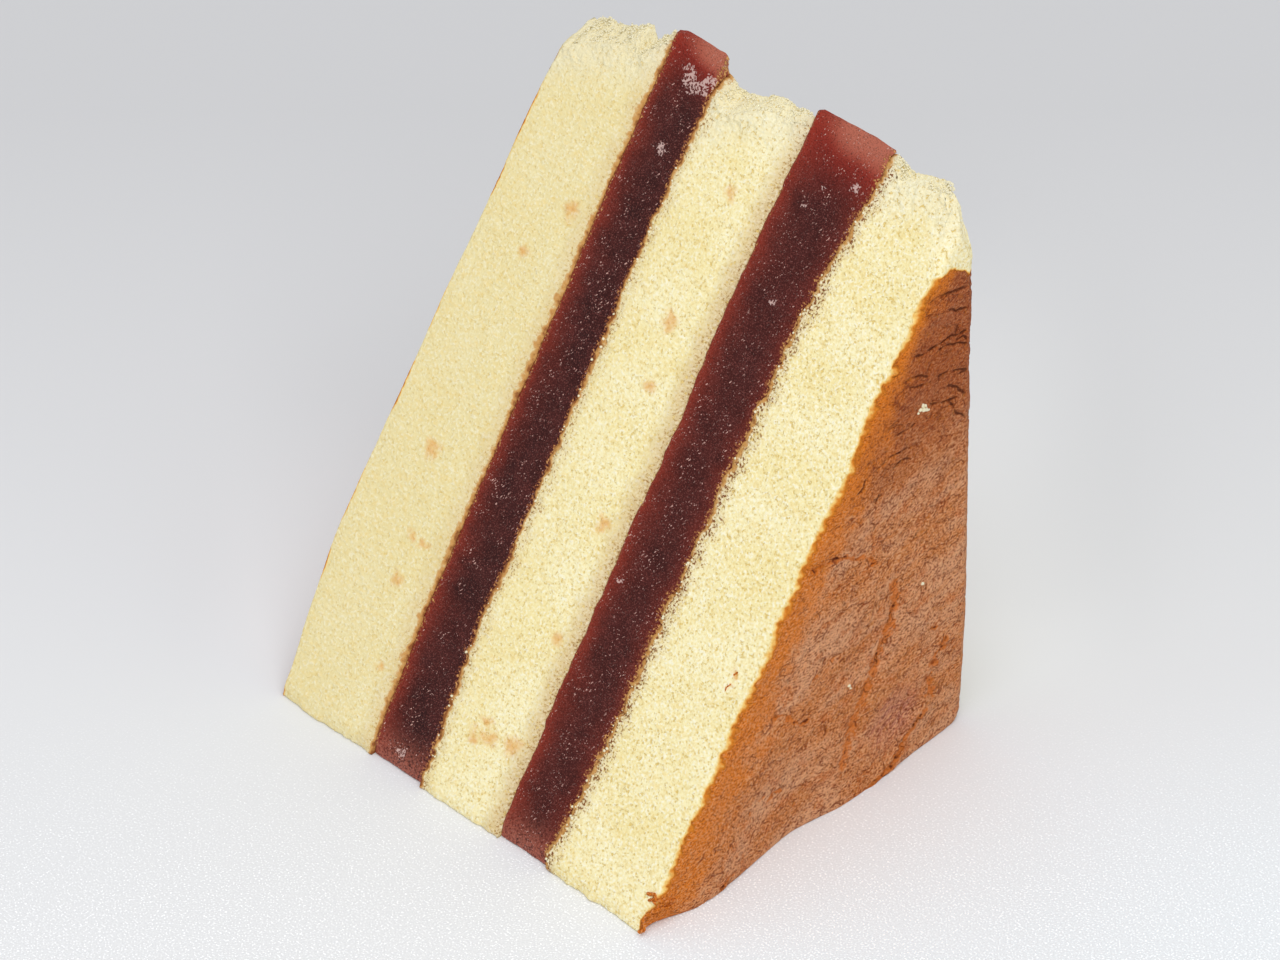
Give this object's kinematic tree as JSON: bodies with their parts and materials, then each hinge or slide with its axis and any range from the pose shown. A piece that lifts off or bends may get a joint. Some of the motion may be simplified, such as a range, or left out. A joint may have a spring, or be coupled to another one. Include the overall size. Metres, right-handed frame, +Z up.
{
  "type": "layered castella wedge",
  "caption": "Right-angled wedge of castella sponge in upright layers with bars of dark red bean jelly between them and browned outer faces, resting on its short cut face.",
  "frame": {"origin": "middle of the base, on the surface that the piece rests on", "axes": "+Z up, layers side by side along X with the wrinkled browned face towards +X, the long slanted cut face towards -Y and the upright cut face towards +Y"},
  "size_m": [0.0548, 0.0458, 0.066],
  "materials": {
    "sponge": "open matt crumb, pale yellow, with a baked brown skin on the two outer faces",
    "jelly": "dark red-brown set jelly, satin, slightly translucent at thin edges"
  },
  "bodies": {
    "root": {"castella_left": "sponge", "jelly_left": "jelly", "castella_middle": "sponge", "jelly_right": "jelly", "castella_right": "sponge"}
  },
  "joints": []
}
